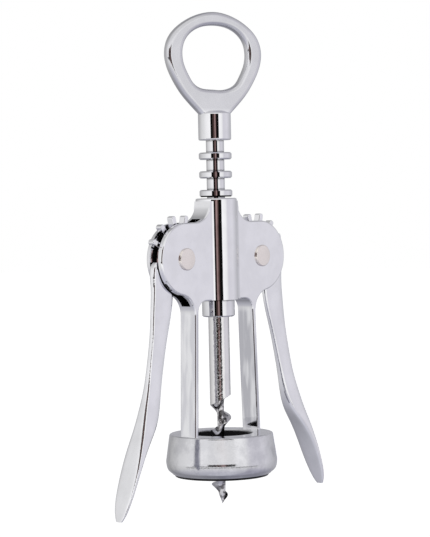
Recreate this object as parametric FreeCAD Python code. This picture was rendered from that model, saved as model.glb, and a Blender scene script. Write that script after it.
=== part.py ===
import math
import os

from FreeCAD import Vector
import Part

# A lever corkscrew, in millimetres.
# Frame of reference: +Z up, origin at the centre of the bell's lower rim, the levers swing in
# the X-Z plane, and the front is -Y. Everything is drawn with the handle up and the levers down.

# Pivots and gearing
PIVOT_X = 22.0
PIVOT_Z = 84.6
RACK_PITCH = 7.2
TOOTH_STEP_DEG = 25.5
FIRST_TOOTH_DEG = 0.5
TOOTH_COUNT = 7
GEAR_TIP_R = 16.8
GEAR_ROOT_R = 11.2
GEAR_THICKNESS = 2.8
GEAR_RIM_ROUND = 0.4
TOOTH_WIDTH = 2.1
TOOTH_TIP_ROUND = 0.8
TOOTH_EDGE_ROUND = 0.3
LEVER_PLAY_DEG = 0.85

# Frame casting
BELL_HEIGHT = 16.5
BELL_LOW_Z = 0.9
BELL_RIM_ROUND = 0.6
BELL_TOP_ROUND = 0.7
BELL_CAVITY_R = 16.5
BELL_ROOF = 3.0
BELL_TOP_HOLE_R = 12.3
BELL_HOLE_CHAMFER = 0.4
BARREL_R = 8.0
BARREL_TOP_Z = 107.5
BARREL_BORE_R = 6.6
ARCH_Z = 68.3
ARCH_CORNER_R = 4.5
LEG_OUT_TOP_X = 17.7
LEG_OUT_LOW_X = 19.2
LEG_THICKNESS = 1.9
WEB_HALF_Y = 4.1
CHEEK_R = 13.8
CHEEK_FOOT_R = 8.2
BARREL_FLARE_R = 8.0
SLOT_WIDTH = 4.3
SLOT_R = 18.3
OUTER_ROUND = 0.8
INNER_ROUND = 0.6
BARREL_TOP_ROUND = 0.7
BARREL_BLEND_R = 3.0

# Bell's curved lower side from the rim up, radius and height, and the top of its straight side
BELL_PROFILE = [
    (19.6, 1.5),
    (20.8, 2.6),
    (21.35, 4.0),
    (21.55, 5.5),
    (21.5, 6.7),
]
BELL_SIDE_TOP = (20.15, 15.8)

# Rivets
RIVET_R = 2.5
RIVET_HEAD_R = 4.26
RIVET_HEAD_H = 1.0
RIVET_DOME = 0.3
RIVET_ROUND = 0.55
RIVET_TAIL_R = 3.6
RIVET_TAIL_H = 0.7
RUNNING_CLEARANCE = 0.06

# Rack sleeve
RACK_R = 6.35
RACK_NECK_R = 3.5
RACK_BOTTOM_Z = 61.7
TOP_FLANGE_Z = 123.8
FLANGE_WIDTH = 2.75
FLANGE_COUNT = 7
FLANGE_CHAMFER = 0.5
SHANK_R = 2.25

# Ring handle
COLLAR_BOTTOM_Z = 129.9
COLLAR_TOP_Z = 140.3
COLLAR_DOME_R = 4.0
COLLAR_DOME_H = 0.9
COLLAR_CROWN_H = 1.4
COLLAR_ROUND = 0.6
RING_YAW_DEG = -20.3
RING_THICKNESS = 4.6
RING_ROUND = 1.7
HOLE_ASIDE = 0.3
SHANK_TOP_Z = 140.0

# Half of the ring's outline, x and height: outside from the collar up, hole from its bottom up
RING_OUTLINE = [
    (RACK_R, COLLAR_TOP_Z - 0.5),
    (10.0, 143.4),
    (13.7, 147.4),
    (17.3, 152.7),
    (20.0, 158.6),
    (20.7, 163.0),
    (19.0, 169.4),
    (14.4, 174.2),
    (8.0, 177.7),
    (0.0, 179.3),
]
HOLE_OUTLINE = [
    (0.0, 149.3),
    (6.2, 149.9),
    (9.2, 151.5),
    (11.4, 154.6),
    (13.4, 158.8),
    (14.1, 163.0),
    (12.8, 168.2),
    (8.2, 172.4),
    (0.0, 174.1),
]

# Worm
WORM_R = 4.04
WORM_CORE_R = 1.3
WORM_SHAFT_LOW_Z = 29.5
WORM_TIP_Z = -11.0
WORM_PITCH = 10.35
FLIGHT_ROOT_R = 0.78
FLIGHT_ROOT_HALF = 2.4
FLIGHT_EDGE_HALF = 0.35
FLIGHT_OVERSIZE = 0.4
FLIGHT_TURN_DEG = -132.6
FLIGHT_RUN_IN = 0.5
FLIGHT_RUN_OUT = 1.5
CORE_TAPER_H = 5.5
HELIX_R = 3.03

# Outline the flight is trimmed to at the point, radius and height
WORM_POINT = [
    (0.0, WORM_TIP_Z),
    (0.35, WORM_TIP_Z + 0.3),
    (3.54, -4.0),
    (WORM_R, -1.0),
]

# Bottle seat
SEAT_MOUTH_R = 15.0
SEAT_MOUTH_LOW_Z = 1.2
SEAT_MOUTH_TAPER = 0.4
SEAT_MOUTH_FLARE = 0.8
SEAT_BORE_R = 11.2
SEAT_LEDGE_Z = 9.6
SEAT_NECK_TOP_Z = 15.9
SEAT_FLANGE_R = 18.2
SEAT_FLANGE_ROUND = 0.2

# Lever arm: height, inner edge x, outer edge x, half depth in y
ARM_SECTIONS = [
    (84.0, 28.6, 35.7, 1.45),
    (82.6, 27.0, 36.8, 1.70),
    (76.0, 26.4, 37.3, 1.60),
    (68.0, 27.2, 37.7, 1.40),
    (56.0, 30.4, 38.9, 1.35),
    (46.0, 33.0, 40.7, 1.45),
    (36.0, 35.3, 43.0, 1.80),
    (29.0, 36.9, 45.3, 2.40),
    (23.0, 39.4, 47.4, 3.10),
    (16.0, 44.7, 50.1, 3.95),
    (8.0, 50.0, 53.0, 4.45),
    (0.0, 53.9, 56.0, 4.20),
    (-6.0, 56.6, 58.1, 3.30),
    (-10.5, 58.5, 59.4, 1.30),
]
ARM_OUTLINE_POINTS = 24
ARM_SQUARENESS = 0.5

# Tolerance when edges are picked out by where they lie, and overlap of pieces to be joined
NEAR = 0.1
FOOT_OVERLAP = 1.0


def ring_of_points(outline):
    """Closed solid of revolution about Z from (radius, height) points."""
    points = [Vector(r, 0, z) for r, z in outline]
    wire = Part.makePolygon(points + [points[0]])
    return Part.Face(wire).revolve(Vector(0, 0, 0), Vector(0, 0, 1), 360)


def line(a, b):
    return Part.LineSegment(a, b).toShape()


def disc_across(x, z, radius, y_low, y_high):
    """Cylinder along Y."""
    return Part.makeCylinder(radius, y_high - y_low, Vector(x, y_low, z), Vector(0, 1, 0))


def mirrored(shape):
    return shape.mirror(Vector(0, 0, 0), Vector(1, 0, 0))


def bell():
    """Bulging cup with a roof that has a hole in it."""
    points = [Vector(r, 0, z) for r, z in BELL_PROFILE]
    top_out = Vector(BELL_SIDE_TOP[0], 0, BELL_SIDE_TOP[1])
    low_side = Part.BSplineCurve()
    low_side.interpolate(points, InitialTangent=Vector(1, 0, 0.7), FinalTangent=top_out - points[-1])
    rim_out = points[0]
    rim_in = rim_out + Vector(-BELL_RIM_ROUND, 0, -BELL_RIM_ROUND)
    top_in = top_out + Vector(-BELL_TOP_ROUND, 0, BELL_TOP_ROUND)
    diagonal = BELL_TOP_ROUND * math.sqrt(0.5)
    shoulder = Vector(top_in.x + diagonal, 0, top_out.z + diagonal)
    edges = [
        low_side.toShape(),
        line(points[-1], top_out),
        Part.Arc(top_out, shoulder, top_in).toShape(),
        line(rim_out, rim_in),
    ]
    inside = [
        rim_in,
        Vector(BELL_CAVITY_R, 0, BELL_LOW_Z),
        Vector(BELL_CAVITY_R, 0, BELL_HEIGHT - BELL_ROOF),
        Vector(BELL_TOP_HOLE_R, 0, BELL_HEIGHT - BELL_ROOF),
        Vector(BELL_TOP_HOLE_R, 0, BELL_HEIGHT - BELL_HOLE_CHAMFER),
        Vector(BELL_TOP_HOLE_R + BELL_HOLE_CHAMFER, 0, BELL_HEIGHT),
        top_in,
    ]
    edges += [line(a, b) for a, b in zip(inside, inside[1:])]
    wire = Part.Wire(Part.__sortEdges__(edges))
    return Part.Face(wire).revolve(Vector(0, 0, 0), Vector(0, 0, 1), 360)


def web_outline():
    """Right half of the flat web's outline: leg, arch, ear and the flare up to the barrel."""
    leg_foot_z = BELL_HEIGHT - FOOT_OVERLAP
    foot_x = LEG_OUT_TOP_X + CHEEK_FOOT_R
    reach = CHEEK_R + CHEEK_FOOT_R
    foot_z = PIVOT_Z - math.sqrt(reach ** 2 - (foot_x - PIVOT_X) ** 2)
    share = CHEEK_R / reach
    join = Vector(PIVOT_X + (foot_x - PIVOT_X) * share, 0, PIVOT_Z + (foot_z - PIVOT_Z) * share)
    foot_turn = (math.pi + math.atan2(join.z - foot_z, join.x - foot_x)) / 2
    foot_mid = Vector(foot_x + CHEEK_FOOT_R * math.cos(foot_turn), 0,
                      foot_z + CHEEK_FOOT_R * math.sin(foot_turn))
    ear_top = Vector(PIVOT_X, 0, PIVOT_Z + CHEEK_R)
    flare_x = BARREL_R + BARREL_FLARE_R
    flare_z = ear_top.z + BARREL_FLARE_R
    diagonal = BARREL_FLARE_R * math.sqrt(0.5)
    arch_in_x = LEG_OUT_TOP_X - LEG_THICKNESS
    arch_low = Vector(arch_in_x, 0, ARCH_Z - ARCH_CORNER_R)
    arch_high = Vector(arch_in_x - ARCH_CORNER_R, 0, ARCH_Z)
    corner = ARCH_CORNER_R * (1 - math.sqrt(0.5))
    leg_top = Vector(LEG_OUT_TOP_X, 0, foot_z)
    barrel_side = Vector(BARREL_R, 0, flare_z)
    flare_foot = Vector(flare_x, 0, ear_top.z)
    leg_foot_in = Vector(LEG_OUT_LOW_X - LEG_THICKNESS, 0, leg_foot_z)
    leg_foot_out = Vector(LEG_OUT_LOW_X, 0, leg_foot_z)
    edges = [
        line(Vector(0, 0, ARCH_Z), arch_high),
        Part.Arc(arch_high, Vector(arch_in_x - corner, 0, ARCH_Z - corner), arch_low).toShape(),
        line(arch_low, leg_foot_in),
        line(leg_foot_in, leg_foot_out),
        line(leg_foot_out, leg_top),
        Part.Arc(leg_top, foot_mid, join).toShape(),
        Part.Arc(join, Vector(PIVOT_X + CHEEK_R, 0, PIVOT_Z), ear_top).toShape(),
        line(ear_top, flare_foot),
        Part.Arc(flare_foot, Vector(flare_x - diagonal, 0, flare_z - diagonal),
                 barrel_side).toShape(),
        line(barrel_side, Vector(0, 0, flare_z)),
        line(Vector(0, 0, flare_z), Vector(0, 0, ARCH_Z)),
    ]
    return Part.Face(Part.Wire(edges))


def middle_of(edge):
    return edge.valueAt((edge.FirstParameter + edge.LastParameter) / 2)


def rounded_rims(web):
    """Rounds the web's outline in front and behind, more on the outside than round the window."""
    outer, inner = [], []
    flare_top = PIVOT_Z + CHEEK_R + BARREL_FLARE_R
    for edge in web.Edges:
        if edge.BoundBox.YLength > NEAR:
            continue
        middle = middle_of(edge)
        if middle.z < ARCH_Z + NEAR and abs(middle.x) < LEG_OUT_TOP_X - LEG_THICKNESS / 4:
            inner.append(edge)
        elif middle.z < flare_top - NEAR and edge.BoundBox.ZMax > BELL_HEIGHT:
            outer.append(edge)
    web = web.makeFillet(OUTER_ROUND, outer)
    inner = [edge for edge in web.Edges if any(same_place(edge, other) for other in inner)]
    return web.makeFillet(INNER_ROUND, inner)


def same_place(edge, other):
    """True where two edges have the same middle point."""
    return middle_of(edge).distanceToPoint(middle_of(other)) < NEAR


def barrel_blend(outline):
    """Hollow fillets where the barrel grows out of the flat web, trimmed to the web's outline."""
    reach = BARREL_R + BARREL_BLEND_R
    centre_y = WEB_HALF_Y + BARREL_BLEND_R
    centre_x = math.sqrt(reach ** 2 - centre_y ** 2)
    share = BARREL_R / reach
    touch = Vector(centre_x * share, centre_y * share, 0)
    foot = Vector(centre_x, WEB_HALF_Y, 0)
    turn = (math.atan2(touch.y - centre_y, touch.x - centre_x) - math.pi / 2) / 2
    middle = Vector(centre_x + BARREL_BLEND_R * math.cos(turn),
                    centre_y + BARREL_BLEND_R * math.sin(turn), 0)
    axis = Vector(0, 0, 0)
    corner = Vector(centre_x, 0, 0)
    wing = Part.Face(Part.Wire([
        line(axis, touch),
        Part.Arc(touch, middle, foot).toShape(),
        line(foot, corner),
        line(corner, axis),
    ]))
    prism = wing.extrude(Vector(0, 0, BARREL_TOP_Z))
    deep = outline.extrude(Vector(0, 2 * BARREL_R, 0))
    deep.translate(Vector(0, -BARREL_R, 0))
    quarter = prism.common(deep)
    half = quarter.fuse(quarter.mirror(Vector(0, 0, 0), Vector(0, 1, 0)))
    return half.fuse(mirrored(half))


def frame():
    """The whole die-cast frame as one piece."""
    outline = web_outline()
    half = outline.extrude(Vector(0, 2 * WEB_HALF_Y, 0))
    half.translate(Vector(0, -WEB_HALF_Y, 0))
    body = rounded_rims(half.fuse(mirrored(half)).removeSplitter())
    barrel = Part.makeCylinder(BARREL_R, BARREL_TOP_Z - ARCH_Z, Vector(0, 0, ARCH_Z))
    rim = [edge for edge in barrel.Edges if edge.BoundBox.ZMin > BARREL_TOP_Z - NEAR]
    barrel = barrel.makeFillet(BARREL_TOP_ROUND, rim)
    body = body.fuse(barrel).fuse(barrel_blend(outline)).fuse(bell())
    bore_height = BARREL_TOP_Z - ARCH_Z + 2 * FOOT_OVERLAP
    body = body.cut(Part.makeCylinder(BARREL_BORE_R, bore_height, Vector(0, 0, ARCH_Z - FOOT_OVERLAP)))
    for side in (-1, 1):
        x = side * PIVOT_X
        body = body.cut(disc_across(x, PIVOT_Z, SLOT_R, -SLOT_WIDTH / 2, SLOT_WIDTH / 2))
        body = body.cut(disc_across(x, PIVOT_Z, RIVET_R, -2 * WEB_HALF_Y, 2 * WEB_HALF_Y))
    return body.removeSplitter()


def bottle_seat():
    """Moulded ring in the bell: flange below, stepped mouth for the bottle, neck up the roof's hole."""
    top = BELL_HEIGHT - BELL_ROOF
    return ring_of_points([
        (BELL_CAVITY_R, BELL_LOW_Z),
        (BELL_CAVITY_R, top),
        (BELL_TOP_HOLE_R, top),
        (BELL_TOP_HOLE_R, SEAT_NECK_TOP_Z),
        (SEAT_BORE_R, SEAT_NECK_TOP_Z),
        (SEAT_BORE_R, SEAT_LEDGE_Z),
        (SEAT_MOUTH_R - SEAT_MOUTH_TAPER, SEAT_LEDGE_Z),
        (SEAT_MOUTH_R, SEAT_MOUTH_LOW_Z),
        (SEAT_MOUTH_R + SEAT_MOUTH_FLARE, 0),
        (SEAT_FLANGE_R - SEAT_FLANGE_ROUND, 0),
        (SEAT_FLANGE_R, SEAT_FLANGE_ROUND),
        (SEAT_FLANGE_R, BELL_LOW_Z),
    ])


def domed_disc(radius, thickness, dome, outwards):
    """Disc on the web's face whose outer side is a shallow dome; outwards is -1 in front, 1 behind."""
    low, high = sorted((outwards * WEB_HALF_Y, outwards * (WEB_HALF_Y + thickness)))
    sphere_r = (radius ** 2 + dome ** 2) / (2 * dome)
    centre = outwards * (WEB_HALF_Y + thickness - sphere_r)
    return disc_across(0, 0, radius, low, high).common(Part.makeSphere(sphere_r, Vector(0, centre, 0)))


def rivet(side):
    """Pivot rivet: domed head in front, plain shank, clinched tail behind."""
    head = domed_disc(RIVET_HEAD_R, RIVET_HEAD_H, RIVET_DOME, -1)
    rim = [edge for edge in head.Edges
           if edge.BoundBox.YLength < NEAR and edge.BoundBox.YMax < -WEB_HALF_Y - RIVET_DOME]
    head = head.makeFillet(RIVET_ROUND, rim)
    tail = domed_disc(RIVET_TAIL_R, RIVET_TAIL_H, RIVET_DOME, 1)
    shank = disc_across(0, 0, RIVET_R, -WEB_HALF_Y, WEB_HALF_Y)
    solid = head.fuse(shank).fuse(tail).removeSplitter()
    solid.translate(Vector(side * PIVOT_X, 0, PIVOT_Z))
    return solid


def arm_section(z, x_in, x_out, half_y):
    """Closed smooth outline at one height of the arm, a rounded rectangle."""
    mid = (x_in + x_out) / 2
    half_x = (x_out - x_in) / 2
    points = []
    for step in range(ARM_OUTLINE_POINTS):
        turn = math.tau * step / ARM_OUTLINE_POINTS
        c, s = math.cos(turn), math.sin(turn)
        points.append(Vector(mid + half_x * math.copysign(abs(c) ** ARM_SQUARENESS, c),
                             half_y * math.copysign(abs(s) ** ARM_SQUARENESS, s), z))
    curve = Part.BSplineCurve()
    curve.interpolate(points, PeriodicFlag=True)
    return Part.Wire(curve.toShape())


def gear_tooth(turn_deg):
    """One peg with a rounded tip, drawn towards -X from the pivot and then turned about it."""
    root_x = -GEAR_ROOT_R + 2 * GEAR_RIM_ROUND
    size = (root_x + GEAR_TIP_R, GEAR_THICKNESS, TOOTH_WIDTH)
    corner = Vector(-GEAR_TIP_R, -GEAR_THICKNESS / 2, -TOOTH_WIDTH / 2)
    tooth = Part.makeBox(*size, corner)
    tips = [e for e in tooth.Edges if e.BoundBox.XMax < NEAR - GEAR_TIP_R and e.BoundBox.ZLength < NEAR]
    tooth = tooth.makeFillet(TOOTH_TIP_ROUND, tips)
    rims = [e for e in tooth.Edges if e.BoundBox.YLength < NEAR and e.BoundBox.XMin < root_x - NEAR]
    tooth = tooth.makeFillet(TOOTH_EDGE_ROUND, rims)
    tooth.rotate(Vector(0, 0, 0), Vector(0, 1, 0), turn_deg)
    tooth.translate(Vector(PIVOT_X, 0, PIVOT_Z))
    return tooth


def lever():
    """Right lever: toothed head, pivot hole and paddle arm."""
    sections = [arm_section(*row) for row in ARM_SECTIONS]
    arm = Part.makeLoft(sections, True, False)
    half = GEAR_THICKNESS / 2
    head = disc_across(PIVOT_X, PIVOT_Z, GEAR_ROOT_R, -half, half)
    rims = [edge for edge in head.Edges if edge.BoundBox.YLength < NEAR]
    body = head.makeFillet(GEAR_RIM_ROUND, rims).fuse(arm)
    for index in range(TOOTH_COUNT):
        body = body.fuse(gear_tooth(FIRST_TOOTH_DEG + index * TOOTH_STEP_DEG))
    hole_r = RIVET_R + RUNNING_CLEARANCE
    return body.cut(disc_across(PIVOT_X, PIVOT_Z, hole_r, -WEB_HALF_Y, WEB_HALF_Y))


def right_lever():
    shape = lever()
    shape.rotate(Vector(PIVOT_X, 0, PIVOT_Z), Vector(0, 1, 0), -LEVER_PLAY_DEG)
    return shape


def left_lever():
    shape = lever()
    shape.rotate(Vector(PIVOT_X, 0, PIVOT_Z), Vector(0, 1, 0), LEVER_PLAY_DEG)
    return mirrored(shape)


def rack_sleeve():
    """Round rack: flanges on a thin neck, plain boss at the foot, bored for the worm's shank."""
    half = FLANGE_WIDTH / 2
    top_z = COLLAR_BOTTOM_Z - NEAR
    chamfer_r = RACK_R - FLANGE_CHAMFER
    outline = [(RACK_NECK_R, top_z)]
    for index in range(FLANGE_COUNT):
        z = TOP_FLANGE_Z - index * RACK_PITCH
        outline += [(RACK_NECK_R, z + half), (chamfer_r, z + half), (RACK_R, z + half - FLANGE_CHAMFER)]
        if index < FLANGE_COUNT - 1:
            outline += [(RACK_R, z - half + FLANGE_CHAMFER), (chamfer_r, z - half),
                        (RACK_NECK_R, z - half)]
    outline += [(RACK_R, RACK_BOTTOM_Z + FLANGE_CHAMFER), (chamfer_r, RACK_BOTTOM_Z)]
    bore = SHANK_R + RUNNING_CLEARANCE
    outline += [(bore, RACK_BOTTOM_Z), (bore, top_z)]
    return ring_of_points(outline)


def ring_plate():
    """Opener ring with its tapering stem, drawn in the X-Z plane."""
    right = [Vector(x, 0, z) for x, z in RING_OUTLINE]
    left = [Vector(-x, 0, z) for x, z in reversed(RING_OUTLINE[:-1])]
    outer = Part.BSplineCurve()
    outer.interpolate(right + left)
    right = [Vector(x, 0, z) for x, z in HOLE_OUTLINE]
    left = [Vector(-x, 0, z) for x, z in reversed(HOLE_OUTLINE[1:-1])]
    hole = Part.BSplineCurve()
    hole.interpolate(right + left, PeriodicFlag=True)
    hole.translate(Vector(HOLE_ASIDE, 0, 0))
    base = line(outer.EndPoint, outer.StartPoint)
    face = Part.Face(Part.Wire([outer.toShape(), base]))
    face = face.cut(Part.Face(Part.Wire(hole.toShape())))
    plate = face.extrude(Vector(0, RING_THICKNESS, 0))
    plate.translate(Vector(0, -RING_THICKNESS / 2, 0))
    rims = [edge for edge in plate.Edges
            if edge.BoundBox.YLength < NEAR and edge.BoundBox.ZMax > COLLAR_TOP_Z]
    return plate.makeFillet(RING_ROUND, rims)


def ring_handle():
    """Cast handle: opener ring, domed round collar, blind bore for the worm's shank."""
    collar = ring_of_points([
        (0, COLLAR_BOTTOM_Z),
        (RACK_R, COLLAR_BOTTOM_Z),
        (RACK_R, COLLAR_TOP_Z),
        (COLLAR_DOME_R, COLLAR_TOP_Z + COLLAR_DOME_H),
        (0, COLLAR_TOP_Z + COLLAR_CROWN_H),
    ])
    rims = [edge for edge in collar.Edges
            if edge.BoundBox.XLength > 2 * RACK_R - NEAR and edge.BoundBox.ZLength < NEAR]
    shape = ring_plate().fuse(collar.makeFillet(COLLAR_ROUND, rims))
    bore_low = COLLAR_BOTTOM_Z - FOOT_OVERLAP
    shape = shape.cut(Part.makeCylinder(SHANK_R, SHANK_TOP_Z - bore_low, Vector(0, 0, bore_low)))
    shape.rotate(Vector(0, 0, 0), Vector(0, 0, 1), RING_YAW_DEG)
    return shape


def worm():
    """Steel auger: shank, plain shaft, thin core with one sharp flight, pointed end."""
    helix = Part.makeLongHelix(WORM_PITCH, WORM_SHAFT_LOW_Z + FLIGHT_RUN_OUT - WORM_TIP_Z, HELIX_R)
    helix.translate(Vector(0, 0, WORM_TIP_Z))
    edge_r = WORM_R + FLIGHT_OVERSIZE
    corners = [(FLIGHT_ROOT_R, -FLIGHT_ROOT_HALF), (edge_r, -FLIGHT_EDGE_HALF),
               (edge_r, FLIGHT_EDGE_HALF), (FLIGHT_ROOT_R, FLIGHT_ROOT_HALF)]
    points = [Vector(x, 0, WORM_TIP_Z + z) for x, z in corners]
    profile = Part.Wire(Part.makePolygon(points + [points[0]]))
    flight = Part.Wire(helix.Edges).makePipeShell([profile], True, True)
    flight.rotate(Vector(0, 0, 0), Vector(0, 0, 1), FLIGHT_TURN_DEG)
    flight_top = WORM_SHAFT_LOW_Z + FLIGHT_RUN_IN
    blade = flight.common(ring_of_points(WORM_POINT + [(WORM_R, flight_top), (0, flight_top)]))
    core = ring_of_points([
        (0, WORM_TIP_Z + FLIGHT_EDGE_HALF),
        (WORM_CORE_R, WORM_TIP_Z + CORE_TAPER_H),
        (WORM_CORE_R, flight_top),
        (0, flight_top),
    ])
    shaft = Part.makeCylinder(WORM_R, RACK_BOTTOM_Z - NEAR - WORM_SHAFT_LOW_Z,
                              Vector(0, 0, WORM_SHAFT_LOW_Z))
    shank_low = WORM_SHAFT_LOW_Z + FOOT_OVERLAP
    shank = Part.makeCylinder(SHANK_R, SHANK_TOP_Z - shank_low, Vector(0, 0, shank_low))
    return core.fuse(blade).fuse(shaft).fuse(shank)


def main():
    os.makedirs("parts", exist_ok=True)
    pieces = {
        "frame": frame(),
        "bottle_seat": bottle_seat(),
        "left_rivet": rivet(-1),
        "right_rivet": rivet(1),
        "left_lever": left_lever(),
        "right_lever": right_lever(),
        "rack_sleeve": rack_sleeve(),
        "ring_handle": ring_handle(),
        "worm": worm(),
    }
    for name, shape in pieces.items():
        print(name, "valid", shape.isValid(), "solids", len(shape.Solids),
              "volume", round(shape.Volume, 1))
        shape.exportStep(os.path.join("parts", name + ".step"))


main()
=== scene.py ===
import bpy
import math
from mathutils import Matrix, Vector


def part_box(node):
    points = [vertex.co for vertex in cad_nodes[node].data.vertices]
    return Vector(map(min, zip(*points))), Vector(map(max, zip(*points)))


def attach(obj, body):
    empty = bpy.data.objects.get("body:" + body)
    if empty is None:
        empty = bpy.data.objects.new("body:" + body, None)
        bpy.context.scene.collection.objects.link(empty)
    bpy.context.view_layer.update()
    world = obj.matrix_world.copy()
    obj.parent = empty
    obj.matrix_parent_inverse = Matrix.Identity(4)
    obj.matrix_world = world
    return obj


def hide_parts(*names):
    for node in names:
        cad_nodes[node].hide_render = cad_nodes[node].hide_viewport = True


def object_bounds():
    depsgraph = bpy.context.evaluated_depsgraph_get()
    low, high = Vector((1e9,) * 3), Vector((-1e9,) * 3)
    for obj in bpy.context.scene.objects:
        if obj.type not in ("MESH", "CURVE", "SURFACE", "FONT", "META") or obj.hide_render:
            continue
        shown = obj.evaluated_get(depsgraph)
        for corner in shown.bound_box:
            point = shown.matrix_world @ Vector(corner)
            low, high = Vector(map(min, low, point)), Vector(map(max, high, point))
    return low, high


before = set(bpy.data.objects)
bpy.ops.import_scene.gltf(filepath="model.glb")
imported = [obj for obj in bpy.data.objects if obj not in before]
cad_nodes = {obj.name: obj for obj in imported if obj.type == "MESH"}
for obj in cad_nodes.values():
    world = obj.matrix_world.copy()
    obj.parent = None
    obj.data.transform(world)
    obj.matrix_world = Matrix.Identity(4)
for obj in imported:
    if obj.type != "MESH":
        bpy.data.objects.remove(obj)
cad_low, cad_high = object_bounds()

# ---------------------------------------------------------------------------------------------
# The studio. A white light tent stands all round, with one dark opening in front, and the white
# table top stands clear below the screw's point. Polished metal shows nothing but the tent, and
# the rims and the flag, which only reflections see. The camera sees plain white behind it all.
# ---------------------------------------------------------------------------------------------
CAMERA_TURN = math.radians(48.34)
CAMERA_TILT = math.radians(1.78)
CAMERA_ROLL = math.radians(1.23)
CAMERA_DISTANCE = 0.808
CAMERA_LENS = 139.83
AIM_HEIGHT = 0.0803
AIM_ASIDE = 0.0010
SENSOR_HEIGHT = 36.0
PICTURE_WIDTH = 430
PICTURE_HEIGHT = 537

scene = bpy.context.scene
scene.view_settings.view_transform = "Standard"

back = Vector((-math.sin(CAMERA_TURN) * math.cos(CAMERA_TILT),
               -math.cos(CAMERA_TURN) * math.cos(CAMERA_TILT),
               math.sin(CAMERA_TILT)))
right = Vector((0, 0, 1)).cross(back).normalized()
up = back.cross(right)
camera_data = bpy.data.cameras.new("studio_camera")
camera_data.lens = CAMERA_LENS
camera_data.sensor_fit = "VERTICAL"
camera_data.sensor_height = SENSOR_HEIGHT
camera_data.sensor_width = SENSOR_HEIGHT * PICTURE_WIDTH / PICTURE_HEIGHT
camera = bpy.data.objects.new("studio_camera", camera_data)
camera_axes = Matrix.Rotation(-CAMERA_ROLL, 3, back) @ Matrix((right, up, back)).transposed()
camera_place = Vector((0, 0, AIM_HEIGHT)) + back * CAMERA_DISTANCE - right * AIM_ASIDE
camera.matrix_world = Matrix.Translation(camera_place) @ camera_axes.to_4x4()
scene.collection.objects.link(camera)
scene.camera = camera


def add_node(tree, kind, sockets=(), **settings):
    """A shader node with its settings, and each (socket, value or link) of sockets put in."""
    made = tree.nodes.new(kind)
    for name, value in settings.items():
        setattr(made, name, value)
    for socket, value in sockets:
        if isinstance(value, bpy.types.NodeSocket):
            tree.links.new(value, made.inputs[socket])
        else:
            made.inputs[socket].default_value = value
    return made


def sum_of(tree, how, a, b=0.0):
    """Result of a Math node on a, or on a and b."""
    return add_node(tree, "ShaderNodeMath", ((0, a), (1, b)), operation=how).outputs[0]


def step_up(tree, value, low, high, before=0.0, after=1.0):
    """Smooth step of value from before, under low, to after, over high."""
    return add_node(tree, "ShaderNodeMapRange", (
        ("Value", value), ("From Min", low), ("From Max", high), ("To Min", before), ("To Max", after),
    ), interpolation_type="SMOOTHSTEP").outputs[0]


def between(tree, value, start, end):
    """1 where value lies from start to end, which are the (low, high) of its two soft edges."""
    return sum_of(tree, "MULTIPLY", step_up(tree, value, *start), step_up(tree, value, *end, 1.0, 0.0))


def blend_of(tree, share, a, b, how="MIX"):
    """Colour a turning to b, or to a times b where how is MULTIPLY, by share."""
    return add_node(tree, "ShaderNodeMix", ((0, share), (6, a), (7, b)),
                    data_type="RGBA", blend_type=how).outputs[2]


def degree_ramp(tree, degrees, low, high, stops):
    """Colour ramp over an angle in degrees, from (degrees, grey or colour) stops."""
    share = add_node(tree, "ShaderNodeMapRange", (
        ("Value", degrees), ("From Min", low), ("From Max", high)))
    ramp = add_node(tree, "ShaderNodeValToRGB", ((0, share.outputs[0]),))
    points = ramp.color_ramp.elements
    for index, (angle, tone) in enumerate(stops):
        place = (angle - low) / (high - low)
        point = points[index] if index < 2 else points.new(place)
        point.position = place
        point.color = (*tone, 1) if isinstance(tone, tuple) else (tone, tone, tone, 1)
    return ramp.outputs[0]


tent = bpy.data.worlds.new("light_tent")
scene.world = tent
tent.use_nodes = True
cloth = tent.node_tree
cloth.nodes.clear()
towards = add_node(cloth, "ShaderNodeTexCoord").outputs["Generated"]
turned = add_node(cloth, "ShaderNodeVectorRotate", (
    ("Vector", towards), ("Axis", (0.0, 0.0, 1.0)), ("Angle", CAMERA_TURN)))
x, y, z = add_node(cloth, "ShaderNodeSeparateXYZ", ((0, turned.outputs[0]),)).outputs
bearing = sum_of(cloth, "DEGREES", sum_of(cloth, "ARCTAN2", x, sum_of(cloth, "MULTIPLY", y, -1.0)))
height = sum_of(cloth, "DEGREES", sum_of(cloth, "ARCSINE", z))
aside = sum_of(cloth, "ABSOLUTE", bearing)

walls = degree_ramp(cloth, bearing, -180, 180, (
    (-180, (0.46, 0.46, 0.49)), (180, (0.46, 0.46, 0.49)), (-140, 0.48), (-100, 0.78),
    (-80, 0.86), (-60, 1.0), (-34, 1.1), (34, 1.1), (52, 1.0),
    (64, (0.76, 0.75, 0.80)), (96, (0.80, 0.79, 0.84)), (140, (0.54, 0.54, 0.57)),
))
storeys = degree_ramp(cloth, height, -90, 90, (
    (-90, (0.58, 0.59, 0.65)), (90, 0.78), (-40, (0.60, 0.60, 0.66)), (-25, (0.74, 0.74, 0.78)),
    (-18, 0.90), (-8, 1.0), (20, 1.0), (34, 0.82),
))
walls = blend_of(cloth, 1.0, walls, storeys, "MULTIPLY")

# Edges of the opening, and of the seam to its left, in degrees round and up. Each is a soft step.
OPENING_SIDE = (27.5, 30.5)
OPENING_FOOT = (-10, -8)
OPENING_TOP = (5.8, 7.5)
SEAM_LEFT = (-64, -62)
SEAM_RIGHT = (-29, -27)
SEAM_TOP = (-5.0, -4.4)
opening = sum_of(cloth, "MULTIPLY", step_up(cloth, aside, *OPENING_SIDE, 1.0, 0.0),
                 between(cloth, height, OPENING_FOOT, OPENING_TOP))
seam = sum_of(cloth, "MULTIPLY", between(cloth, bearing, SEAM_LEFT, SEAM_RIGHT),
              between(cloth, height, OPENING_FOOT, SEAM_TOP))
opening = sum_of(cloth, "MAXIMUM", opening, seam)

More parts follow.
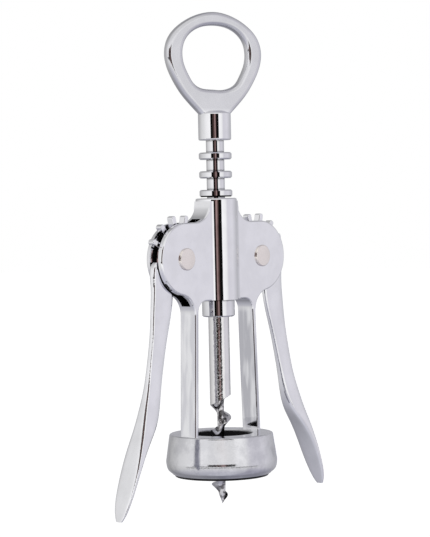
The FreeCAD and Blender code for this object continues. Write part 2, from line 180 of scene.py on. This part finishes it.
# The room in the opening, by degrees round: black, with brown and pink tones in its middle.
ROOM_HALF_ANGLE = 30
behind_lens = (
    (-ROOM_HALF_ANGLE, 0.004), (ROOM_HALF_ANGLE, 0.004), (-14, 0.004), (-12, (0.07, 0.045, 0.04)),
    (-8, (0.10, 0.06, 0.055)), (-5, (0.04, 0.025, 0.025)), (-2, (0.08, 0.05, 0.045)),
    (1, (0.42, 0.29, 0.28)), (5, (0.34, 0.23, 0.22)), (8, (0.12, 0.075, 0.07)),
    (11, (0.05, 0.03, 0.03)), (13, 0.004),
)
room = degree_ramp(cloth, bearing, -ROOM_HALF_ANGLE, ROOM_HALF_ANGLE, behind_lens)
surroundings = blend_of(cloth, opening, walls, room)
rays = add_node(cloth, "ShaderNodeLightPath")
surroundings = blend_of(cloth, rays.outputs["Is Camera Ray"], surroundings, (1.0, 1.0, 1.0, 1))
glow = add_node(cloth, "ShaderNodeBackground", (("Color", surroundings), ("Strength", 1.0)))
add_node(cloth, "ShaderNodeOutputWorld", (("Surface", glow.outputs[0]),))

TABLE_SIZE = 6.0
TABLE_BELOW_POINT = 0.0330
TABLE_WHITE = (0.70, 0.70, 0.70, 1)
TABLE_GLOW = 0.60
table_mesh = bpy.data.meshes.new("table_top")
corners = [(x * TABLE_SIZE / 2, y * TABLE_SIZE / 2, 0) for x, y in ((-1, -1), (1, -1), (1, 1), (-1, 1))]
table_mesh.from_pydata(corners, [], [(0, 1, 2, 3)])
table_top = bpy.data.objects.new("table_top", table_mesh)
table_top.location.z = cad_low[2] - TABLE_BELOW_POINT
table_top.visible_glossy = False
scene.collection.objects.link(table_top)
white_laminate = bpy.data.materials.new("white_laminate")
white_laminate.use_nodes = True
laminate_shader = white_laminate.node_tree.nodes["Principled BSDF"]
laminate_shader.inputs["Base Color"].default_value = TABLE_WHITE
laminate_shader.inputs["Emission Color"].default_value = (1.0, 1.0, 1.0, 1)
laminate_shader.inputs["Emission Strength"].default_value = TABLE_GLOW
table_mesh.materials.append(white_laminate)


def glowing_black(name):
    """A material that gives only its emission back, with its shader."""
    material = bpy.data.materials.new(name)
    material.use_nodes = True
    shader = material.node_tree.nodes["Principled BSDF"]
    shader.inputs["Base Color"].default_value = (0.0, 0.0, 0.0, 1)
    shader.inputs["Specular IOR Level"].default_value = 0.0
    shader.inputs["Emission Strength"].default_value = 1.0
    return material, shader


def stage_sheet(name, verts, faces, material):
    """A sheet of the studio that metal reflects and the camera does not see."""
    mesh = bpy.data.meshes.new(name)
    mesh.from_pydata(verts, [], faces)
    mesh.materials.append(material)
    sheet = bpy.data.objects.new(name, mesh)
    sheet.visible_camera = False
    sheet.visible_diffuse = False
    sheet.visible_shadow = False
    scene.collection.objects.link(sheet)


# Two arcs in front, level with the screw's point, which only reflections see: a band of painted light,
# as of a lit table edge, within a band of painted shadow: inner radius, outer, grey.
RIM_PAINTED_LIGHT_AND_SHADOW = ((0.066, 0.072, 0.95), (0.072, 0.082, 0.02))
RIM_HALF_ANGLE = 70
RIM_STEP = 2
front = math.degrees(math.atan2(back.y, back.x))
turns = [math.radians(front + step) for step in range(-RIM_HALF_ANGLE, RIM_HALF_ANGLE + 1, RIM_STEP)]
for inner_r, outer_r, grey in RIM_PAINTED_LIGHT_AND_SHADOW:
    name = "rim_painted_light_and_shadow_%d" % round(inner_r * 1000)
    rim_paint, shader = glowing_black(name)
    shader.inputs["Emission Color"].default_value = (grey, grey, grey, 1)
    verts = [(r * math.cos(turn), r * math.sin(turn), cad_low[2])
             for turn in turns for r in (inner_r, outer_r)]
    faces = [(i, i + 1, i + 3, i + 2) for i in range(0, len(verts) - 2, 2)]
    stage_sheet(name, verts, faces, rim_paint)

# The flag stands in front of the rack and the ring, and shows the same room as the opening.
FLAG_DISTANCE = 0.30
FLAG_LOW = 0.100
FLAG_HIGH = 0.240
FLAG_HALF_WIDTH = 0.160
ahead = Vector((back.x, back.y, 0)).normalized() * FLAG_DISTANCE
verts = [ahead + right * side * FLAG_HALF_WIDTH + Vector((0, 0, level))
         for side, level in ((-1, FLAG_LOW), (1, FLAG_LOW), (1, FLAG_HIGH), (-1, FLAG_HIGH))]
flag_cloth, shader = glowing_black("flag_cloth")
tree = flag_cloth.node_tree
spot = add_node(tree, "ShaderNodeTexCoord").outputs["Object"]
across = add_node(tree, "ShaderNodeVectorMath", ((0, spot), (1, tuple(right))), operation="DOT_PRODUCT")
bearing = sum_of(tree, "DEGREES", sum_of(tree, "ARCTAN2", across.outputs["Value"], FLAG_DISTANCE))
on_flag = degree_ramp(tree, bearing, -ROOM_HALF_ANGLE, ROOM_HALF_ANGLE, behind_lens)
tree.links.new(on_flag, shader.inputs["Emission Color"])
stage_sheet("black_flag", verts, [(0, 1, 2, 3)], flag_cloth)

# ---------------------------------------------------------------------------------------------
# Frame. One zinc die casting: bell, two legs, cheeks and barrel, polished and chrome plated.
# The bell is left satin. The bore and the lever slots are deep and dull, as the polishing mop doesn't
# reach into them, and painted shade makes them dark.
# ---------------------------------------------------------------------------------------------
BELL_SATIN_BELOW = 0.0168
BORE_R = 0.0068
BORE_ABOVE = 0.0680
SLOT_HALF = 0.00222
SLOT_REACH_LOW = 0.0185
SLOT_REACH_HIGH = 0.0126
SLOT_STEP_Z = 0.0770
PIVOT_X = 0.0220
PIVOT_Z = 0.0846
CHROME = (0.86, 0.86, 0.885, 1)
LEG_TOP_Z = 0.0620
LEG_MOP_MARKS = (260.0, 260.0, 45.0)
BELL_CLEAR = (0.76, 0.76, 0.785, 1)
BELL_SMUDGE = (0.62, 0.62, 0.65, 1)
LEG_STREAK = (0.70, 0.70, 0.74, 1)
# Painted shade: the faces of the legs that look inwards are tinted greyer, and their streaks darker.
LEG_INSIDE_PAINTED_SHADE = (0.76, 0.76, 0.79, 1)
LEG_INSIDE_STREAK_PAINTED_SHADE = (0.50, 0.50, 0.54, 1)
LEG_MIDDLE_X = 0.01675
LEG_SPLAY = 0.0325
EDGE_SOFT = 0.0004
LEG_FADE = 0.004
SLOT_FADE = 0.001
SATIN_ROUGH = (0.11, 0.20)
DEEP_ROUGH = 0.6
# Painted shade for the bore and the lever slots.
DEEP_PAINTED_SHADE = (0.03, 0.028, 0.03, 1)


def noise_of(tree, spot, scale, detail, rough):
    """Height of a noise texture at spot, with scale in waves to the metre."""
    return add_node(tree, "ShaderNodeTexNoise", (
        ("Vector", spot), ("Scale", scale), ("Detail", detail), ("Roughness", rough))).outputs[0]


def bump_of(tree, strength, distance, relief):
    """Surface normal for a relief of the given depth in metres."""
    return add_node(tree, "ShaderNodeBump", (
        ("Strength", strength), ("Distance", distance), ("Height", relief))).outputs[0]


def mix_of(tree, share, a, b):
    """Number a turning to b by share."""
    return add_node(tree, "ShaderNodeMix", ((0, share), (2, a), (3, b))).outputs[0]


def reach_of(tree, a, b):
    """Distance of the point (a, b) from the middle."""
    squares = sum_of(tree, "ADD", sum_of(tree, "MULTIPLY", a, a), sum_of(tree, "MULTIPLY", b, b))
    return sum_of(tree, "SQRT", squares)


def plated(name, colour, smooth, rough, ripple=0.00003, grain=220.0):
    """Polished plating: tint, roughness and surface drift a little, as a hand mop leaves them."""
    material = bpy.data.materials.new(name)
    material.use_nodes = True
    tree = material.node_tree
    shader = tree.nodes["Principled BSDF"]
    shader.inputs["Metallic"].default_value = 1.0
    spot = add_node(tree, "ShaderNodeTexCoord").outputs["Object"]
    clouds = noise_of(tree, spot, grain / 2, 3.0, 0.55)
    waves = noise_of(tree, spot, grain, 2.0, 0.4)
    darker = tuple(0.94 * part for part in colour[:3]) + (1,)
    tint = blend_of(tree, step_up(tree, clouds, 0.35, 0.65), darker, colour)
    dullness = step_up(tree, clouds, 0.3, 0.7, smooth, rough)
    tree.links.new(tint, shader.inputs["Base Color"])
    tree.links.new(dullness, shader.inputs["Roughness"])
    tree.links.new(bump_of(tree, 1.0, ripple, waves), shader.inputs["Normal"])
    return material, tree, shader, spot, tint, dullness


def finish_node(name, material):
    """The CAD piece keeps its shape and gets its real finish."""
    slots = cad_nodes[name].data.materials
    slots.clear()
    slots.append(material)


frame_chrome, tree, shader, spot, tint, dullness = plated("frame_chrome", CHROME, 0.03, 0.07)
x, y, z = add_node(tree, "ShaderNodeSeparateXYZ", ((0, spot),)).outputs
smudges = noise_of(tree, spot, 130.0, 4.0, 0.6)
on_bell = step_up(tree, z, BELL_SATIN_BELOW - EDGE_SOFT, BELL_SATIN_BELOW, 1.0, 0.0)
satin = step_up(tree, smudges, 0.3, 0.7, *SATIN_ROUGH)
in_bore = sum_of(tree, "MULTIPLY", sum_of(tree, "LESS_THAN", reach_of(tree, x, y), BORE_R),
                 sum_of(tree, "GREATER_THAN", z, BORE_ABOVE))

# The slots are dull and carry painted shade round the rivets, and further out from them in the lower
# part.
in_slot = sum_of(tree, "LESS_THAN", sum_of(tree, "ABSOLUTE", y), SLOT_HALF)
from_pivot = reach_of(tree, sum_of(tree, "SUBTRACT", sum_of(tree, "ABSOLUTE", x), PIVOT_X),
                      sum_of(tree, "SUBTRACT", z, PIVOT_Z))
slot_reach = step_up(tree, z, SLOT_STEP_Z - SLOT_FADE, SLOT_STEP_Z, SLOT_REACH_LOW, SLOT_REACH_HIGH)
in_slot = sum_of(tree, "MULTIPLY", in_slot, sum_of(tree, "LESS_THAN", from_pivot, slot_reach))
dull_and_painted_shade = sum_of(tree, "MAXIMUM", in_bore, in_slot)
dullness = mix_of(tree, on_bell, dullness, satin)
dullness = mix_of(tree, dull_and_painted_shade, dullness, DEEP_ROUGH)

# The mop leaves long marks down the legs. The faces that look inwards are darker with painted shade.
stretched = add_node(tree, "ShaderNodeVectorMath", ((0, spot), (1, LEG_MOP_MARKS)), operation="MULTIPLY")
mop = noise_of(tree, stretched.outputs[0], 1.0, 2.0, 0.5)
streaks = step_up(tree, mop, 0.42, 0.60)
on_legs = step_up(tree, z, LEG_TOP_Z, LEG_TOP_Z + LEG_FADE, 1.0, 0.0)
on_legs = sum_of(tree, "MULTIPLY", on_legs, sum_of(tree, "GREATER_THAN", z, BELL_SATIN_BELOW))
leg_middle = sum_of(tree, "ADD", sum_of(tree, "MULTIPLY", z, -LEG_SPLAY),
                    LEG_MIDDLE_X + LEG_SPLAY * LEG_TOP_Z)
inside = sum_of(tree, "LESS_THAN", sum_of(tree, "ABSOLUTE", x), leg_middle)
inner_face_painted_shade = blend_of(tree, streaks, LEG_INSIDE_PAINTED_SHADE, LEG_INSIDE_STREAK_PAINTED_SHADE)
outer_face = blend_of(tree, streaks, CHROME, LEG_STREAK)
tint = blend_of(tree, on_legs, tint, blend_of(tree, inside, outer_face, inner_face_painted_shade))
bell_tint = blend_of(tree, step_up(tree, smudges, 0.38, 0.62), BELL_SMUDGE, BELL_CLEAR)
tint = blend_of(tree, on_bell, tint, bell_tint)
# Painted shade: the bore and the lever slots are tinted dark.
tint = blend_of(tree, dull_and_painted_shade, tint, DEEP_PAINTED_SHADE)
tree.links.new(tint, shader.inputs["Base Color"])
tree.links.new(dullness, shader.inputs["Roughness"])
finish_node("frame", frame_chrome)

# ---------------------------------------------------------------------------------------------
# Bottle seat. Moulded black plastic ring pressed into the bell from below: its flange is the
# foot that rests on the bottle, and its throat guides the worm.
# ---------------------------------------------------------------------------------------------
SEAT_SHINE = 0.12
SEAT_BLACK = (0.004, 0.004, 0.005, 1)
SEAT_SCUFF = (0.016, 0.015, 0.017, 1)
SEAT_ROUGH = (0.38, 0.55)
seat_plastic = bpy.data.materials.new("seat_plastic")
seat_plastic.use_nodes = True
tree = seat_plastic.node_tree
shader = tree.nodes["Principled BSDF"]
shader.inputs["Specular IOR Level"].default_value = SEAT_SHINE
spot = add_node(tree, "ShaderNodeTexCoord").outputs["Object"]
texture = noise_of(tree, spot, 1800.0, 2.0, 0.5)
scuffs = noise_of(tree, spot, 160.0, 4.0, 0.6)
tree.links.new(blend_of(tree, scuffs, SEAT_BLACK, SEAT_SCUFF), shader.inputs["Base Color"])
tree.links.new(step_up(tree, scuffs, 0.3, 0.7, *SEAT_ROUGH), shader.inputs["Roughness"])
tree.links.new(bump_of(tree, 0.6, 0.00004, texture), shader.inputs["Normal"])
finish_node("bottle_seat", seat_plastic)

# ---------------------------------------------------------------------------------------------
# Rivets. Two turned nickel-plated steel pins, put through cheeks and lever from the front and
# clinched behind. They have the warmer, softer shine of nickel, with fine turning marks.
# ---------------------------------------------------------------------------------------------
NICKEL = (0.90, 0.84, 0.80, 1)
TURNING_STEP = 0.00035
TURNING_DEPTH = 0.000004
for name in ("left_rivet", "right_rivet"):
    low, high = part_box(name)
    nickel, tree, shader, spot, _, _ = plated(name + "_nickel", NICKEL, 0.16, 0.26)
    centre = add_node(tree, "ShaderNodeVectorMath", (
        (0, spot), (1, ((low[0] + high[0]) / 2, 0.0, (low[2] + high[2]) / 2))), operation="SUBTRACT")
    x, y, z = add_node(tree, "ShaderNodeSeparateXYZ", ((0, centre.outputs[0]),)).outputs
    turn = sum_of(tree, "MULTIPLY", reach_of(tree, x, z), 2 * math.pi / TURNING_STEP)
    marks = bump_of(tree, 0.5, TURNING_DEPTH, sum_of(tree, "SINE", turn))
    tree.links.new(marks, shader.inputs["Normal"])
    finish_node(name, nickel)

# ---------------------------------------------------------------------------------------------
# Levers. Zinc die castings with a toothed head that engages the rack, polished on the arm and
# the paddle and chrome plated all over. Each turns on its rivet between the cheeks.
# ---------------------------------------------------------------------------------------------
lever_chrome = plated("lever_chrome", CHROME, 0.03, 0.08)[0]
for name in ("left_lever", "right_lever"):
    finish_node(name, lever_chrome)

# ---------------------------------------------------------------------------------------------
# Rack sleeve. Steel turned on a lathe to a row of flanges that works as a round rack, plated.
# It slides in the barrel, and the screw's shank turns inside it.
# ---------------------------------------------------------------------------------------------
SLEEVE_CHROME = (0.80, 0.80, 0.825, 1)
CREVICE_REACH = 0.0016
CREVICE_PAINTED_SHADE = (0.02, 0.02, 0.022, 1)
sleeve_chrome, tree, shader, _, tint, _ = plated(
    "sleeve_chrome", SLEEVE_CHROME, 0.025, 0.05, ripple=0.00001)
# Painted shade: the tint goes dark where ambient occlusion finds crevices, as under the flanges.
crevice = add_node(tree, "ShaderNodeAmbientOcclusion", (("Distance", CREVICE_REACH),), samples=8)
shaded = step_up(tree, crevice.outputs["AO"], 0.45, 0.80, 1.0, 0.0)
tint = blend_of(tree, shaded, tint, CREVICE_PAINTED_SHADE)
tree.links.new(tint, shader.inputs["Base Color"])
finish_node("rack_sleeve", sleeve_chrome)

# ---------------------------------------------------------------------------------------------
# Ring handle. Zinc casting with a cap lifter's ring and a round collar, polished and plated,
# pressed on to the end of the screw's shank, which it turns.
# ---------------------------------------------------------------------------------------------
COLLAR_TOP_Z = 0.1405
RING_FADE = 0.002
HANDLE_CHROME = (0.83, 0.83, 0.855, 1)
RING_PAINTED_SHADE = (0.84, 0.84, 0.85, 1)
RING_DULLER = 0.07
handle_chrome, tree, shader, spot, tint, dullness = plated("handle_chrome", HANDLE_CHROME, 0.03, 0.06)
z = add_node(tree, "ShaderNodeSeparateXYZ", ((0, spot),)).outputs[2]
on_ring = step_up(tree, z, COLLAR_TOP_Z, COLLAR_TOP_Z + RING_FADE)
# Painted shade: the ring is tinted greyer than the collar.
ring_painted_shade = blend_of(tree, 1.0, tint, RING_PAINTED_SHADE, "MULTIPLY")
tree.links.new(blend_of(tree, on_ring, tint, ring_painted_shade), shader.inputs["Base Color"])
dullness = sum_of(tree, "ADD", dullness, sum_of(tree, "MULTIPLY", on_ring, RING_DULLER))
tree.links.new(dullness, shader.inputs["Roughness"])
finish_node("ring_handle", handle_chrome)

# ---------------------------------------------------------------------------------------------
# Worm. Drawn steel rod with one sharp flight milled round a thin core and a ground point, left
# bright from the cutter. The shaft above the flight is plain and goes up through the sleeve.
# ---------------------------------------------------------------------------------------------
WORM_R = 0.00403
CORE_R = 0.00130
PITCH = 0.01035
POINT_CLEAR = 0.00002
POINT_Z = cad_low[2] + POINT_CLEAR
FLIGHT_BEARING = math.radians(131.7)
FLIGHT_TIP_Z = 0.0276
SHAFT_TOP_Z = 0.0616
GROOVE_R = 0.0031
SHANK_R = 0.00224
SHANK_TOP_Z = 0.1390
CUT_MIDDLE_Z = 0.02925
CUT_RISE = 0.00195
CUT_BEARING = math.radians(221.7)
POINT_SLOPE = 0.72
CORE_SLOPE = 0.35
AROUND = 96
TURNS_DOWN = 4
FLIGHT_OVERLAP = 0.004
CORE_POINT_R = 0.00002
TIP_POINT_R = 0.00003
SHAFT_CHAMFER = 0.00012
CUT_CENTRE_R = 0.0004
CUT_BAND = 0.0030
SHANK_CENTRE_R = 0.0002
SHARP_ANGLE = math.radians(35)
STEEL = (0.80, 0.79, 0.80, 1)
GROOVE_DEEP_R = 0.0016
GROOVE_PAINTED_SHADE = (0.16, 0.155, 0.16, 1)

# One pitch of the flight: height from its edge, and share of the way out from the core.
FLIGHT_PROFILE = (
    (-PITCH + 0.0006, 0.0), (-0.0058, 0.0), (-0.0040, 0.02), (-0.0027, 0.10), (-0.0020, 0.28),
    (-0.0012, 0.55), (-0.0005, 0.85), (-0.00012, 1.0), (0.00010, 1.0),
    (0.00025, 0.75), (0.00032, 0.35), (0.00045, 0.06),
)

verts, faces = [], []
flight_rows = []
for turn in range(-TURNS_DOWN, 1):
    for rise, share in FLIGHT_PROFILE:
        row = []
        for step in range(AROUND + 1):
            angle = 2 * math.pi * step / AROUND
            z = FLIGHT_TIP_Z + PITCH * (turn + angle / (2 * math.pi)) + rise
            z = min(max(z, POINT_Z), CUT_MIDDLE_Z + FLIGHT_OVERLAP)
            core = min(CORE_R, (z - POINT_Z) * CORE_SLOPE + CORE_POINT_R)
            tip = min(WORM_R, (z - POINT_Z) * POINT_SLOPE + TIP_POINT_R)
            radius = core + max(tip - core, 0.0) * share
            bearing = FLIGHT_BEARING + angle
            row.append(len(verts))
            verts.append((radius * math.cos(bearing), radius * math.sin(bearing), z))
        flight_rows.append(row)
for lower, upper in zip(flight_rows, flight_rows[1:]):
    for step in range(AROUND):
        faces.append((lower[step], lower[step + 1], upper[step + 1], upper[step]))

# The shaft, from the slanting cut where the flight runs out up to the shank's end.
shaft_rows = []
for radius, z, follows_cut in (
        (CUT_CENTRE_R, 0.0, 1), (CORE_R, 0.0, 1), (WORM_R - SHAFT_CHAMFER, 0.0, 1),
        (WORM_R, SHAFT_CHAMFER, 1), (WORM_R, CUT_BAND, 1), (WORM_R, SHAFT_TOP_Z, 0),
        (SHANK_R, SHAFT_TOP_Z, 0), (SHANK_R, SHANK_TOP_Z, 0), (SHANK_CENTRE_R, SHANK_TOP_Z, 0)):
    row = []
    for step in range(AROUND):
        angle = 2 * math.pi * step / AROUND
        cut = CUT_MIDDLE_Z + CUT_RISE * math.sin(angle - CUT_BEARING)
        row.append(len(verts))
        verts.append((radius * math.cos(angle), radius * math.sin(angle), z + cut * follows_cut))
    shaft_rows.append(row)
for lower, upper in zip(shaft_rows, shaft_rows[1:]):
    for step in range(AROUND):
        after = (step + 1) % AROUND
        faces.append((lower[step], lower[after], upper[after], upper[step]))
faces.append(tuple(reversed(shaft_rows[0])))
faces.append(tuple(shaft_rows[-1]))

worm_mesh = bpy.data.meshes.new("worm_screw")
worm_mesh.from_pydata(verts, [], faces)
worm_mesh.validate()
worm_mesh.shade_smooth()
worm_mesh.set_sharp_from_angle(angle=SHARP_ANGLE)
worm_screw = bpy.data.objects.new("worm_screw", worm_mesh)
scene.collection.objects.link(worm_screw)

drawn_steel, tree, shader, spot, tint, _ = plated("drawn_steel", STEEL, 0.05, 0.09)
speckle = noise_of(tree, spot, 1500.0, 2.0, 0.6)
tree.links.new(bump_of(tree, 1.0, 0.00005, speckle), shader.inputs["Normal"])
x, y, z = add_node(tree, "ShaderNodeSeparateXYZ", ((0, spot),)).outputs
# Painted shade: the groove between the flights darkens towards the core, broken into patches by noise.
groove_painted_shade = sum_of(tree, "MULTIPLY", step_up(tree, reach_of(tree, x, y), GROOVE_DEEP_R, GROOVE_R, 1.0, 0.0),
                sum_of(tree, "LESS_THAN", z, FLIGHT_TIP_Z + FLIGHT_OVERLAP))
shade_patches = step_up(tree, noise_of(tree, spot, 650.0, 2.0, 0.5), 0.40, 0.55, 0.15, 1.0)
groove_painted_shade = sum_of(tree, "MULTIPLY", groove_painted_shade, shade_patches)
tree.links.new(blend_of(tree, groove_painted_shade, tint, GROOVE_PAINTED_SHADE), shader.inputs["Base Color"])
worm_mesh.materials.append(drawn_steel)
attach(worm_screw, "screw")
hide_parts("worm")
